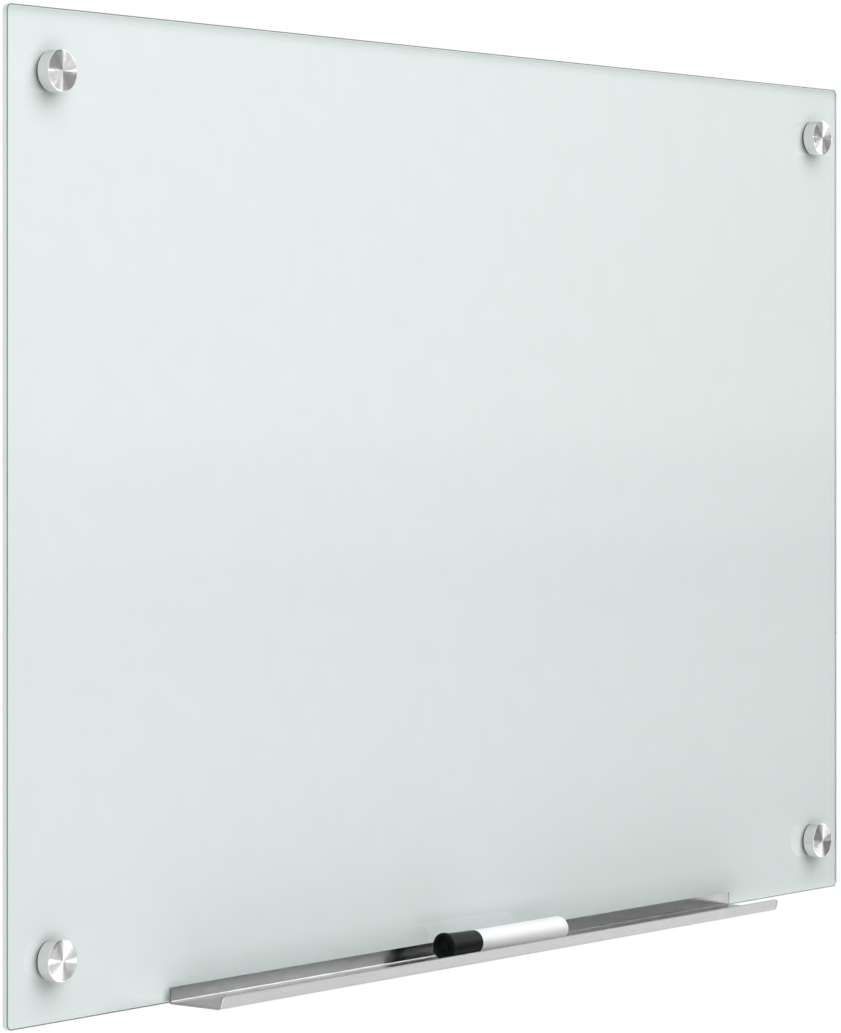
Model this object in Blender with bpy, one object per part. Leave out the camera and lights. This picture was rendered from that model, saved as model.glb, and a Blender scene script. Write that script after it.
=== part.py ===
"""Frameless glass whiteboard: a tempered pane on four standoffs, with a marker tray and a marker.

Metres, +Z up. The origin lies on the wall, midway between the four fixing points, and the board
faces -Y. Each standoff is built along its own +Z, from the wall outwards, under an empty that turns
it to face the room. The marker is built along its own +Z, from the cap's closed end to the far end.
"""

import math

import bmesh
import bpy

# Clearance between pieces that touch, and the distance within which two points are one
FIT_GAP = 0.0003
WELD = 0.0000001

# Pane
GLASS_WIDTH = 0.9144
GLASS_HEIGHT = 0.6096
GLASS_THICKNESS = 0.004
GLASS_CORNER_RADIUS = 0.004
GLASS_ARRIS = 0.0005
HOLE_INSET_ACROSS = 0.037
HOLE_INSET_UP = 0.0385

# Standoff cap and its stud
CAP_DIAMETER = 0.0254
CAP_HEIGHT = 0.0091
CAP_EDGE_RADIUS = 0.0006
CAP_SOCKET_DEPTH = 0.006
STUD_DIAMETER = 0.010
STUD_CHAMFER = 0.001
THREAD_REACH = 0.009

# Washers and the sleeve in the pane's hole
WASHER_THICKNESS = 0.0008
WASHER_SETBACK = 0.0004
SLEEVE_WALL = 0.0009

# Standoff barrel
BARREL_DIAMETER = 0.0254
BARREL_LENGTH = 0.019
BARREL_BASE = 0.004
BARREL_CHAMFER = 0.0005

# Wall screw
SCREW_DIAMETER = 0.004
SCREW_HEAD_DIAMETER = 0.008
SCREW_LENGTH = 0.016
SCREW_TIP_LENGTH = 0.006

# Tray, bent from one sheet
TRAY_LENGTH = 0.620
TRAY_OFFSET = -0.005
TRAY_DEPTH = 0.0435
TRAY_DROP = 0.0002
SHEET_THICKNESS = 0.0012
BEND_RADIUS = 0.0008
FLANGE_HEIGHT = 0.0103
FLANGE_CORNER_RADIUS = 0.001
LIP_HEIGHT = 0.008
LIP_LEAN = 0.0021
LIP_CORNER_RADIUS = 0.003

# Foam tape behind the tray's flange
TAPE_THICKNESS = 0.001
TAPE_WIDTH = 0.008
TAPE_SETBACK = 0.002
TAPE_ARRIS = 0.0001

# Marker
MARKER_LEFT_END = -0.065
MARKER_FROM_FLANGE = 0.0204
MARKER_LENGTH = 0.1322
MARKER_DIAMETER = 0.0167
MARKER_NECK_DIAMETER = 0.0157
MARKER_WALL = 0.00125
MARKER_CAP_LENGTH = 0.0333
MARKER_CAP_DIAMETER = 0.017
MARKER_CAP_MOUTH_DIAMETER = 0.0158
CAP_RING_DIAMETER = 0.0184
CAP_RING_WIDTH = 0.003
CAP_RING_ROUNDING = 0.0006
CAP_RECESS_DIAMETER = 0.0135
CAP_RECESS_DEPTH = 0.0025
CAP_BOSS_DIAMETER = 0.005
CAP_BOSS_HEIGHT = 0.0012
CAP_END_WALL = 0.0015
NIB_ROOM = 0.002
COLLAR_OVERHANG = 0.0002
NOSE_STEP = 0.0012
NOSE_TIP_WALL = 0.001
NOSE_PLUG_LENGTH = 0.008
NIB_DIAMETER = 0.005
END_PLUG_LENGTH = 0.006
END_DOME_LENGTH = 0.005
END_ROUNDING = 0.0045

# What the nose and nib reach into the cap, shared out between collar, taper and bare nib
COLLAR_SHARE = 0.45
TAPER_SHARE = 0.33

# Facets of a full turn, and of a corner or a small rounding
WIDE_SIDES = 36
NARROW_SIDES = 24
SCREW_SIDES = 16
CORNER_STEPS = 6
ROUNDING_STEPS = 3

SMOOTH_BELOW = math.radians(30)

# Places along a standoff, from the wall
REAR_WASHER_BACK = BARREL_LENGTH + FIT_GAP
GLASS_BACK = REAR_WASHER_BACK + WASHER_THICKNESS + FIT_GAP
GLASS_FRONT = GLASS_BACK + GLASS_THICKNESS
FRONT_WASHER_BACK = GLASS_FRONT + FIT_GAP
CAP_BACK = FRONT_WASHER_BACK + WASHER_THICKNESS + FIT_GAP
STUD_BACK = BARREL_LENGTH - THREAD_REACH
STUD_FRONT = CAP_BACK + CAP_SOCKET_DEPTH - FIT_GAP

# Radii that follow the stud
STUD_RADIUS = STUD_DIAMETER / 2
STUD_BORE_RADIUS = STUD_RADIUS + FIT_GAP
SLEEVE_RADIUS = STUD_BORE_RADIUS + SLEEVE_WALL
GLASS_HOLE_RADIUS = SLEEVE_RADIUS + FIT_GAP
WASHER_RADIUS = CAP_DIAMETER / 2 - WASHER_SETBACK

# The screw's cone stands off its seat by the fit gap, measured square to the cone
SCREW_RADIUS = SCREW_DIAMETER / 2
SCREW_HEAD_RADIUS = SCREW_HEAD_DIAMETER / 2
SCREW_HOLE_RADIUS = SCREW_RADIUS + FIT_GAP
SINK_RADIUS = SCREW_HEAD_RADIUS + FIT_GAP * math.sqrt(2)

# Places of the tray: out from the wall, and up
GLASS_BOTTOM = -GLASS_HEIGHT / 2
TAPE_BACK = GLASS_FRONT + FIT_GAP
FLANGE_BACK = TAPE_BACK + TAPE_THICKNESS + FIT_GAP
FLANGE_FRONT = FLANGE_BACK + SHEET_THICKNESS
TRAY_UNDERSIDE = GLASS_BOTTOM - TRAY_DROP
TRAY_FLOOR = TRAY_UNDERSIDE + SHEET_THICKNESS

# Radii and places along the marker, whose barrel widens from the cap to its end
MARKER_RADIUS = MARKER_DIAMETER / 2
NECK_RADIUS = MARKER_NECK_DIAMETER / 2
NECK_BORE_RADIUS = NECK_RADIUS - MARKER_WALL
END_BORE_RADIUS = MARKER_RADIUS - MARKER_WALL
CAP_BODY_RADIUS = MARKER_CAP_DIAMETER / 2
CAP_MOUTH_RADIUS = MARKER_CAP_MOUTH_DIAMETER / 2
CAP_RING_RADIUS = CAP_RING_DIAMETER / 2
CORE_RADIUS = NECK_BORE_RADIUS - FIT_GAP
COLLAR_RADIUS = NECK_BORE_RADIUS + COLLAR_OVERHANG
NIB_RADIUS = NIB_DIAMETER / 2
NIB_BORE_RADIUS = NIB_RADIUS + FIT_GAP
CAP_BORE_END = CAP_RECESS_DEPTH + CAP_END_WALL
NOSE_REACH = MARKER_CAP_LENGTH - CAP_BORE_END - NIB_ROOM
COLLAR_FRONT = MARKER_CAP_LENGTH - NOSE_REACH * COLLAR_SHARE
NOSE_TIP = COLLAR_FRONT - NOSE_REACH * TAPER_SHARE
NIB_TIP = MARKER_CAP_LENGTH - NOSE_REACH
BARREL_MOUTH = MARKER_CAP_LENGTH + FIT_GAP
NOSE_BACK = BARREL_MOUTH + NOSE_PLUG_LENGTH
END_SEAM = MARKER_LENGTH - END_DOME_LENGTH
END_PLUG_FRONT = END_SEAM - END_PLUG_LENGTH
BORE_WIDENING = (END_BORE_RADIUS - NECK_BORE_RADIUS) / (END_SEAM - BARREL_MOUTH)
END_PLUG_RADIUS = END_BORE_RADIUS - END_PLUG_LENGTH * BORE_WIDENING - FIT_GAP

# The marker lies on the cap's ring and on its own end, so that its axis dips towards the end
RING_REST = CAP_RING_WIDTH - CAP_RING_ROUNDING
END_REST = MARKER_LENGTH - END_ROUNDING
MARKER_DIP = math.atan2(CAP_RING_RADIUS - MARKER_RADIUS, END_REST - RING_REST)

CORNERS = {
    "top_left": (-1, 1),
    "top_right": (1, 1),
    "bottom_left": (-1, -1),
    "bottom_right": (1, -1),
}


def clear_scene():
    """Remove whatever the scene holds."""
    for obj in list(bpy.data.objects):
        bpy.data.objects.remove(obj, do_unlink=True)


def material(name, colour, roughness, metallic=0.0, transmission=0.0):
    """One Principled material."""
    made = bpy.data.materials.new(name)
    made.use_nodes = True
    shader = made.node_tree.nodes["Principled BSDF"]
    shader.inputs["Base Color"].default_value = (*colour, 1.0)
    shader.inputs["Roughness"].default_value = roughness
    shader.inputs["Metallic"].default_value = metallic
    shader.inputs["Transmission Weight"].default_value = transmission
    return made


def empty(name, location, turn):
    """A frame that carries the pieces built along its +Z."""
    made = bpy.data.objects.new(name, None)
    made.location = location
    made.rotation_euler = turn
    bpy.context.collection.objects.link(made)
    return made


def finish(name, shape, finish_of_it, parent):
    """Turn a bmesh into a named object under its frame, smooth except at real edges."""
    bmesh.ops.remove_doubles(shape, verts=shape.verts, dist=WELD)
    bmesh.ops.recalc_face_normals(shape, faces=shape.faces)
    mesh = bpy.data.meshes.new(name)
    shape.to_mesh(mesh)
    shape.free()
    mesh.shade_smooth()
    mesh.set_sharp_from_angle(angle=SMOOTH_BELOW)
    mesh.materials.append(finish_of_it)
    obj = bpy.data.objects.new(name, mesh)
    obj.parent = parent
    bpy.context.collection.objects.link(obj)
    return obj


def arc(centre, radius, start, end, steps=ROUNDING_STEPS):
    """Points on a round stretch, with its angles in degrees."""
    points = []
    for step in range(steps + 1):
        angle = math.radians(start + (end - start) * step / steps)
        points.append((centre[0] + radius * math.cos(angle), centre[1] + radius * math.sin(angle)))
    return points


def turned(name, profile, sides, finish_of_it, parent):
    """Revolve (radius, height) points about +Z. A profile that ends on the axis makes a solid,
    and any other is closed into a ring with a bore."""
    shape = bmesh.new()
    corners = [shape.verts.new((radius, 0, height)) for radius, height in profile]
    pairs = list(zip(corners, corners[1:]))
    if profile[0][0] > 0:
        pairs.append((corners[-1], corners[0]))
    edges = [shape.edges.new(pair) for pair in pairs]
    bmesh.ops.spin(
        shape,
        geom=corners + edges,
        cent=(0, 0, 0),
        axis=(0, 0, 1),
        angle=2 * math.pi,
        steps=sides,
        use_merge=True,
    )
    return finish(name, shape, finish_of_it, parent)


def ring(inner, outer, back, front):
    """Profile of a plain tube or washer."""
    return [(inner, back), (outer, back), (outer, front), (inner, front)]


def circle(radius, centre, sides):
    """Points of a closed circle."""
    return [
        (
            centre[0] + radius * math.cos(2 * math.pi * side / sides),
            centre[1] + radius * math.sin(2 * math.pi * side / sides),
        )
        for side in range(sides)
    ]


def rounded_rectangle(width, height, radius, centre=(0, 0)):
    """Points of a closed rectangle with round corners."""
    across = width / 2 - radius
    up = height / 2 - radius
    points = []
    for start, (side, rise) in zip((0, 90, 180, 270), ((1, 1), (-1, 1), (-1, -1), (1, -1))):
        corner = (centre[0] + side * across, centre[1] + rise * up)
        points += arc(corner, radius, start, start + 90, CORNER_STEPS)
    return points


def plate(name, outlines, back, front, arris, finish_of_it, parent):
    """A flat sheet between two levels. Each outline is a function of how far its edge is set back
    at the faces: the first is the rim, and the others are holes."""
    shape = bmesh.new()
    levels = ((back, arris), (back + arris, 0), (front - arris, 0), (front, arris))
    rims = {back: [], front: []}
    for outline in outlines:
        loops = []
        for level, setback in levels:
            loop = [shape.verts.new((*point, level)) for point in outline(setback)]
            loops.append(loop)
        for lower, upper in zip(loops, loops[1:]):
            for here, start in enumerate(lower):
                after = (here + 1) % len(lower)
                shape.faces.new((start, lower[after], upper[after], upper[here]))
        for level, loop in ((back, loops[0]), (front, loops[-1])):
            for here, start in enumerate(loop):
                rims[level].append(shape.edges.get((start, loop[(here + 1) % len(loop)])))
    for edges in rims.values():
        bmesh.ops.triangle_fill(shape, use_beauty=True, edges=edges, normal=(0, 0, 1))
    return finish(name, shape, finish_of_it, parent)


def hole_centres():
    """Centre of each standoff across the board, by the name of its corner."""
    across = GLASS_WIDTH / 2 - HOLE_INSET_ACROSS
    up = GLASS_HEIGHT / 2 - HOLE_INSET_UP
    return {name: (side * across, rise * up) for name, (side, rise) in CORNERS.items()}


def glass_panel(board, finishes):
    """The pane, with its ground edges and a hole for each standoff."""

    def rim(setback):
        return rounded_rectangle(
            GLASS_WIDTH - 2 * setback, GLASS_HEIGHT - 2 * setback, GLASS_CORNER_RADIUS - setback
        )

    def hole_at(centre):
        return lambda setback: circle(GLASS_HOLE_RADIUS + setback, centre, NARROW_SIDES)

    outlines = [rim] + [hole_at(centre) for centre in hole_centres().values()]
    plate("glass_panel", outlines, GLASS_BACK, GLASS_FRONT, GLASS_ARRIS, finishes["glass"], board)


def standoff_cap(corner, frame, finishes):
    """The brushed disc, with the blind socket that its stud is fixed in."""
    radius = CAP_DIAMETER / 2
    front = CAP_BACK + CAP_HEIGHT
    shoulder = (radius - CAP_EDGE_RADIUS, front - CAP_EDGE_RADIUS)
    profile = [(0, CAP_BACK + CAP_SOCKET_DEPTH), (STUD_BORE_RADIUS, CAP_BACK + CAP_SOCKET_DEPTH)]
    profile += [(STUD_BORE_RADIUS, CAP_BACK), (radius - CAP_EDGE_RADIUS, CAP_BACK)]
    profile += [(radius, CAP_BACK + CAP_EDGE_RADIUS)]
    profile += arc(shoulder, CAP_EDGE_RADIUS, 0, 90)
    profile += [(0, front)]
    turned(f"standoff_cap_{corner}", profile, WIDE_SIDES, finishes["cap"], frame)


def stud(corner, frame, finishes):
    """The threaded stud, plain here, from the cap's socket into the barrel."""
    tip = STUD_RADIUS - STUD_CHAMFER
    profile = [(0, STUD_BACK), (tip, STUD_BACK), (STUD_RADIUS, STUD_BACK + STUD_CHAMFER)]
    profile += [(STUD_RADIUS, STUD_FRONT - STUD_CHAMFER), (tip, STUD_FRONT), (0, STUD_FRONT)]
    turned(f"stud_{corner}", profile, NARROW_SIDES, finishes["stud"], frame)


def washers_and_sleeve(corner, frame, finishes):
    """The soft pieces that keep metal off the pane."""
    for name, back in (("front_washer", FRONT_WASHER_BACK), ("rear_washer", REAR_WASHER_BACK)):
        profile = ring(STUD_BORE_RADIUS, WASHER_RADIUS, back, back + WASHER_THICKNESS)
        turned(f"{name}_{corner}", profile, NARROW_SIDES, finishes["washer"], frame)
    profile = ring(STUD_BORE_RADIUS, SLEEVE_RADIUS, GLASS_BACK, GLASS_FRONT)
    turned(f"glass_sleeve_{corner}", profile, NARROW_SIDES, finishes["sleeve"], frame)


def standoff_barrel(corner, frame, finishes):
    """The spacer against the wall: bored for the stud, with a countersunk hole in its base."""
    radius = BARREL_DIAMETER / 2
    chamfered = radius - BARREL_CHAMFER
    sink_foot = BARREL_BASE - (SINK_RADIUS - SCREW_HOLE_RADIUS)
    profile = [(SCREW_HOLE_RADIUS, 0), (chamfered, 0), (radius, BARREL_CHAMFER)]
    profile += [(radius, BARREL_LENGTH - BARREL_CHAMFER), (chamfered, BARREL_LENGTH)]
    profile += [(STUD_BORE_RADIUS + BARREL_CHAMFER, BARREL_LENGTH)]
    profile += [(STUD_BORE_RADIUS, BARREL_LENGTH - BARREL_CHAMFER)]
    profile += [(STUD_BORE_RADIUS, BARREL_BASE), (SINK_RADIUS, BARREL_BASE)]
    profile += [(SCREW_HOLE_RADIUS, sink_foot)]
    turned(f"standoff_barrel_{corner}", profile, WIDE_SIDES, finishes["barrel"], frame)


def wall_screw(corner, frame, finishes):
    """The countersunk screw, whose head lies flush in the barrel's base."""
    tip = BARREL_BASE - SCREW_LENGTH
    neck = BARREL_BASE - (SCREW_HEAD_RADIUS - SCREW_RADIUS)
    profile = [(0, tip), (SCREW_RADIUS, tip + SCREW_TIP_LENGTH), (SCREW_RADIUS, neck)]
    profile += [(SCREW_HEAD_RADIUS, BARREL_BASE), (0, BARREL_BASE)]
    turned(f"wall_screw_{corner}", profile, SCREW_SIDES, finishes["screw"], frame)


def standoffs(finishes):
    """Every piece of the four standoffs, each under a frame on its corner's axis."""
    for corner, (across, up) in hole_centres().items():
        frame = empty(f"standoff_axis_{corner}", (across, 0, up), (math.pi / 2, 0, 0))
        wall_screw(corner, frame, finishes)
        standoff_barrel(corner, frame, finishes)
        washers_and_sleeve(corner, frame, finishes)
        stud(corner, frame, finishes)
        standoff_cap(corner, frame, finishes)


def tray_section():
    """The sheet's middle line from the flange's top to the lip's top, as stretches of
    (length, turn), and where it starts, out from the wall and up."""
    half = SHEET_THICKNESS / 2
    radius = BEND_RADIUS + half
    turn = math.pi / 2 - math.atan2(LIP_LEAN, LIP_HEIGHT)
    back_off = math.tan(turn / 2)
    lip_run = (LIP_HEIGHT - half) / math.sin(turn) - radius * back_off
    floor_start = FLANGE_BACK + half + radius
    floor_end = GLASS_FRONT + TRAY_DEPTH - (half + radius) * back_off
    stretches = [
        (FLANGE_HEIGHT - half - radius, 0),
        (radius * math.pi / 2, math.pi / 2),
        (floor_end - floor_start, 0),
        (radius * turn, turn),
        (lip_run, 0),
    ]
    return stretches, (FLANGE_BACK + half, TRAY_UNDERSIDE + FLANGE_HEIGHT)


def along(stretches, start, distance):
    """Point and direction of the section at a distance from the flange's top."""
    out, up = start
    heading = -math.pi / 2
    for length, turn in stretches:
        run = min(length, distance)
        swing = turn * run / length
        chord = run
        if turn:
            chord = 2 * length / turn * math.sin(swing / 2)
        out += chord * math.cos(heading + swing / 2)
        up += chord * math.sin(heading + swing / 2)
        heading += swing
        distance -= run
        if distance <= 0:
            break
    return (out, up), heading


def tray_rows(stretches):
    """Where the section needs a row of points, and how much shorter the sheet is there: at the
    ends for the round corners, and along the bends."""
    total = sum(length for length, _ in stretches)
    rows = []
    for step in range(CORNER_STEPS + 1):
        angle = math.pi / 2 * step / CORNER_STEPS
        into = 1 - math.cos(angle)
        short = 1 - math.sin(angle)
        rows.append((FLANGE_CORNER_RADIUS * into, FLANGE_CORNER_RADIUS * short))
        rows.append((total - LIP_CORNER_RADIUS * into, LIP_CORNER_RADIUS * short))
    passed = 0
    for length, turn in stretches:
        if turn:
            for step in range(CORNER_STEPS + 1):
                rows.append((passed + length * step / CORNER_STEPS, 0))
        passed += length
    return sorted(rows)


def tray(finishes):
    """The tray as its sheet is made: a blank with round corners, folded at two bends."""
    stretches, start = tray_section()
    shape = bmesh.new()
    left = TRAY_OFFSET - TRAY_LENGTH / 2
    right = TRAY_OFFSET + TRAY_LENGTH / 2
    rings = []
    for distance, short in tray_rows(stretches):
        (out, up), heading = along(stretches, start, distance)
        aside = (-math.sin(heading) * SHEET_THICKNESS / 2, math.cos(heading) * SHEET_THICKNESS / 2)
        corners = []
        for end, side in ((left + short, 1), (left + short, -1), (right - short, -1), (right - short, 1)):
            corners.append(shape.verts.new((end, -(out + side * aside[0]), up + side * aside[1])))
        rings.append(corners)
    for above, below in zip(rings, rings[1:]):
        for here in range(4):
            after = (here + 1) % 4
            shape.faces.new((above[here], above[after], below[after], below[here]))
    shape.faces.new(rings[0])
    shape.faces.new(rings[-1])
    finish("tray", shape, finishes["tray"], None)


def tray_tape(board, finishes):
    """The foam tape that holds the tray's flange to the pane."""
    length = TRAY_LENGTH - 2 * TAPE_SETBACK
    centre = (TRAY_OFFSET, TRAY_UNDERSIDE + FLANGE_HEIGHT - TAPE_SETBACK / 2 - TAPE_WIDTH / 2)

    def rim(setback):
        return rounded_rectangle(
            length - 2 * setback, TAPE_WIDTH - 2 * setback, 2 * TAPE_ARRIS - setback, centre
        )

    tape_front = TAPE_BACK + TAPE_THICKNESS
    plate("tray_tape", [rim], TAPE_BACK, tape_front, TAPE_ARRIS, finishes["tape"], board)


def marker_cap(frame, finishes):
    """The cap: a gripping ring and a recess at its closed end, and a stepped bore for the nose."""
    recess = CAP_RECESS_DIAMETER / 2
    boss = CAP_BOSS_DIAMETER / 2
    boss_top = CAP_RECESS_DEPTH - CAP_BOSS_HEIGHT
    rounding = CAP_RING_ROUNDING
    bore = COLLAR_RADIUS + FIT_GAP
    tip_bore = bore - NOSE_STEP + FIT_GAP
    step_front = COLLAR_FRONT - FIT_GAP
    profile = [(0, boss_top), (boss, boss_top), (boss, CAP_RECESS_DEPTH), (recess, CAP_RECESS_DEPTH)]
    profile += arc((recess + rounding, rounding), rounding, 180, 270)
    profile += arc((CAP_RING_RADIUS - rounding, rounding), rounding, 270, 360)
    profile += arc((CAP_RING_RADIUS - rounding, CAP_RING_WIDTH - rounding), rounding, 0, 90)
    profile += [(CAP_BODY_RADIUS, CAP_RING_WIDTH), (CAP_MOUTH_RADIUS, MARKER_CAP_LENGTH)]
    profile += [(bore, MARKER_CAP_LENGTH), (bore, step_front), (tip_bore, step_front)]
    profile += [(tip_bore, CAP_BORE_END), (0, CAP_BORE_END)]
    turned("marker_cap", profile, WIDE_SIDES, finishes["marker_cap"], frame)


def marker_nose(frame, finishes):
    """The nose: a plug in the barrel, a collar that the cap grips, and a taper round the nib."""
    taper_foot = COLLAR_RADIUS - NOSE_STEP
    taper_tip = NIB_BORE_RADIUS + NOSE_TIP_WALL
    profile = [(NIB_BORE_RADIUS, NOSE_TIP), (taper_tip, NOSE_TIP), (taper_foot, COLLAR_FRONT)]
    profile += [(COLLAR_RADIUS, COLLAR_FRONT), (COLLAR_RADIUS, MARKER_CAP_LENGTH)]
    profile += [(CORE_RADIUS, MARKER_CAP_LENGTH), (CORE_RADIUS, NOSE_BACK)]
    profile += [(NIB_BORE_RADIUS, NOSE_BACK)]
    turned("marker_nose", profile, WIDE_SIDES, finishes["marker_nose"], frame)


def marker_nib(frame, finishes):
    """The felt nib, round at its tip, through the nose to the ink."""
    profile = arc((0, NIB_TIP + NIB_RADIUS), NIB_RADIUS, -90, 0)
    profile[0] = (0, NIB_TIP)
    profile += [(NIB_RADIUS, NOSE_BACK), (0, NOSE_BACK)]
    turned("marker_nib", profile, NARROW_SIDES, finishes["marker_nib"], frame)


def marker_barrel(frame, finishes):
    """The barrel, a tube that widens from the cap's mouth to the end plug's seam."""
    front = END_SEAM - FIT_GAP
    profile = [(NECK_BORE_RADIUS, BARREL_MOUTH), (NECK_RADIUS, BARREL_MOUTH)]
    profile += [(MARKER_RADIUS, front), (END_BORE_RADIUS, front)]
    turned("marker_barrel", profile, WIDE_SIDES, finishes["marker_barrel"], frame)


def marker_reservoir(frame, finishes):
    """The fibre rod that holds the ink."""
    back = NOSE_BACK + FIT_GAP
    front = END_PLUG_FRONT - FIT_GAP
    profile = [(0, back), (CORE_RADIUS, back), (CORE_RADIUS, front), (0, front)]
    turned("marker_reservoir", profile, NARROW_SIDES, finishes["marker_reservoir"], frame)


def marker_end_plug(frame, finishes):
    """The round end, whose plug closes the barrel."""
    shoulder = (MARKER_RADIUS - END_ROUNDING, MARKER_LENGTH - END_ROUNDING)
    profile = [(0, END_PLUG_FRONT), (END_PLUG_RADIUS, END_PLUG_FRONT), (END_PLUG_RADIUS, END_SEAM)]
    profile += [(MARKER_RADIUS, END_SEAM)]
    profile += arc(shoulder, END_ROUNDING, 0, 90, CORNER_STEPS)
    profile += [(0, MARKER_LENGTH)]
    turned("marker_end_plug", profile, WIDE_SIDES, finishes["marker_barrel"], frame)


def marker(finishes):
    """The marker, lying in the middle of the tray's floor."""
    out = FLANGE_FRONT + MARKER_FROM_FLANGE
    rest = TRAY_FLOOR + FIT_GAP
    up = rest + CAP_RING_RADIUS * math.cos(MARKER_DIP) + RING_REST * math.sin(MARKER_DIP)
    turn = (0, math.pi / 2 + MARKER_DIP, 0)
    frame = empty("marker_axis", (MARKER_LEFT_END, -out, up), turn)
    marker_cap(frame, finishes)
    marker_nose(frame, finishes)
    marker_nib(frame, finishes)
    marker_barrel(frame, finishes)
    marker_reservoir(frame, finishes)
    marker_end_plug(frame, finishes)


def make_finishes():
    """Every finish, by the piece that has it."""
    return {
        "glass": material("back_painted_glass", (0.84, 0.90, 0.88), 0.05),
        "cap": material("turned_steel", (0.72, 0.72, 0.72), 0.3, 1.0),
        "stud": material("zinc_plated_steel", (0.62, 0.62, 0.60), 0.35, 1.0),
        "barrel": material("satin_aluminium", (0.68, 0.68, 0.69), 0.35, 1.0),
        "washer": material("black_rubber", (0.03, 0.03, 0.03), 0.6),
        "sleeve": material("clear_nylon", (0.85, 0.86, 0.85), 0.4),
        "screw": material("plated_screw", (0.60, 0.58, 0.52), 0.4, 1.0),
        "tray": material("brushed_aluminium", (0.70, 0.70, 0.71), 0.35, 1.0),
        "tape": material("grey_foam_tape", (0.45, 0.46, 0.46), 0.9),
        "marker_cap": material("black_plastic", (0.02, 0.02, 0.02), 0.35),
        "marker_nose": material("dark_plastic", (0.05, 0.05, 0.05), 0.4),
        "marker_nib": material("inked_felt", (0.01, 0.01, 0.01), 0.9),
        "marker_barrel": material("white_plastic", (0.88, 0.88, 0.88), 0.3),
        "marker_reservoir": material("ink_fibre", (0.04, 0.04, 0.05), 0.95),
    }


def main():
    clear_scene()
    finishes = make_finishes()
    board = empty("board_plane", (0, 0, 0), (math.pi / 2, 0, 0))
    glass_panel(board, finishes)
    standoffs(finishes)
    tray_tape(board, finishes)
    tray(finishes)
    marker(finishes)
    bpy.context.view_layer.update()


main()
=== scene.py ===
"""Looks of the glass whiteboard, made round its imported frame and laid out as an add-on.

Metres, +Z up. The board faces -Y and its wall is the plane Y = 0. Each operator makes one piece or
one group of like pieces in the place that the frame gives, and main calls them in order.
"""

import math

import bmesh
import bpy
from mathutils import Matrix, Vector


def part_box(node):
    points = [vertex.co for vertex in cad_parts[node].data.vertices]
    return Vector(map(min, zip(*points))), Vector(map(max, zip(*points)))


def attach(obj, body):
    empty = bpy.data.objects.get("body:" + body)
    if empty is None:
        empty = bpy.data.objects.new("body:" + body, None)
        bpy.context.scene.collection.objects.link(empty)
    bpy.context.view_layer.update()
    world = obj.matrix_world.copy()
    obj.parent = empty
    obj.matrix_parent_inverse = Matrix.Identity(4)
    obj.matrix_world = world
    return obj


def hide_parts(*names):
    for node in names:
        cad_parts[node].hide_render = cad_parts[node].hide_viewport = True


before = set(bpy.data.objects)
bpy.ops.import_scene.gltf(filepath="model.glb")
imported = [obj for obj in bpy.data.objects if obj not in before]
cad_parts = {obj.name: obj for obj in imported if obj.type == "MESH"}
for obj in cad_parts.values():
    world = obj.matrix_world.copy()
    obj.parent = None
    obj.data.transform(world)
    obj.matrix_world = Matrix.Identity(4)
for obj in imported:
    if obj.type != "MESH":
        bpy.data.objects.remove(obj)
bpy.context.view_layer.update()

bl_info = {
    "name": "Glass Whiteboard",
    "version": (1, 0, 0),
    "blender": (4, 5, 0),
    "location": "3D View > Sidebar > Whiteboard",
    "description": "A back-painted glass board on standoffs, with a bent tray and a marker",
    "category": "Object",
}

# ---------------- places that come from the frame

CORNERS = ("bottom_left", "top_left", "bottom_right", "top_right")

GLASS_LOW, GLASS_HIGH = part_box("glass_panel")
GLASS_BACK, GLASS_FRONT = -GLASS_HIGH.y, -GLASS_LOW.y
CAP_LOW, CAP_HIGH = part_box("standoff_cap_top_right")
FIXING_ACROSS = (CAP_LOW.x + CAP_HIGH.x) / 2
FIXING_UP = (CAP_LOW.z + CAP_HIGH.z) / 2
CAP_BACK, CAP_FRONT = -CAP_HIGH.y, -CAP_LOW.y
CAP_RADIUS = (CAP_HIGH.x - CAP_LOW.x) / 2
STUD_LOW, STUD_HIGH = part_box("stud_top_right")
STUD_BACK, STUD_FRONT = -STUD_HIGH.y, -STUD_LOW.y
STUD_RADIUS = (STUD_HIGH.x - STUD_LOW.x) / 2
BARREL_LENGTH = -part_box("standoff_barrel_top_right")[0].y
SCREW_TIP = -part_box("wall_screw_top_right")[1].y
SCREW_TOP = -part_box("wall_screw_top_right")[0].y
TRAY_LOW, TRAY_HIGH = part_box("tray")

# ---------------- sizes that the frame doesn't give

# The middle of the marker's left end, and the angle by which it dips towards its right end
MARKER_LEFT = Vector((-0.065, -0.0476, -0.294284))
MARKER_DIP = 0.006784
FIT_GAP = 0.0003
STUD_BORE = STUD_RADIUS + FIT_GAP
WASHER_RADIUS = 0.0123
SLEEVE_RADIUS = 0.0062
SOFT_EDGE = 0.00015
GLASS_HOLE_RADIUS = 0.0065
GLASS_CORNER_RADIUS = 0.004
CAP_SOCKET_DEPTH = 0.006
STUD_END_INSET = 0.0004
STUD_END_DEPTH = 0.001
STUD_END_MARGIN = 0.0015
BARREL_BASE = 0.004
BARREL_EDGE = 0.0005
SCREW_RADIUS = 0.002
SCREW_HEAD_RADIUS = 0.004
SCREW_HEAD_RIM = 0.0003
SCREW_SHANK = 0.003
SCREW_POINT = 0.006
DRIVE_RADIUS = 0.0016
DRIVE_DEPTH = 0.0016
LIP_HEIGHT = 0.008
LIP_LEAN = 0.0021
LIP_CORNER_RADIUS = 0.003
FLANGE_CORNER_RADIUS = 0.001
PAINT_DEPTH = 0.0001
PAINT_BITE = 0.00004
WELD = 0.000001
HOLD = 0.00025
FULL_TURN = 2 * math.pi
SHARP_EDGE = math.radians(32)
CUT_EDGE = math.radians(50)


# ---------------- what a user would change


def metres(name, description, default, low, high):
    """A property in metres."""
    return bpy.props.FloatProperty(name=name, description=description, default=default, min=low, max=high,
                                   unit="LENGTH", subtype="DISTANCE")


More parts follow.
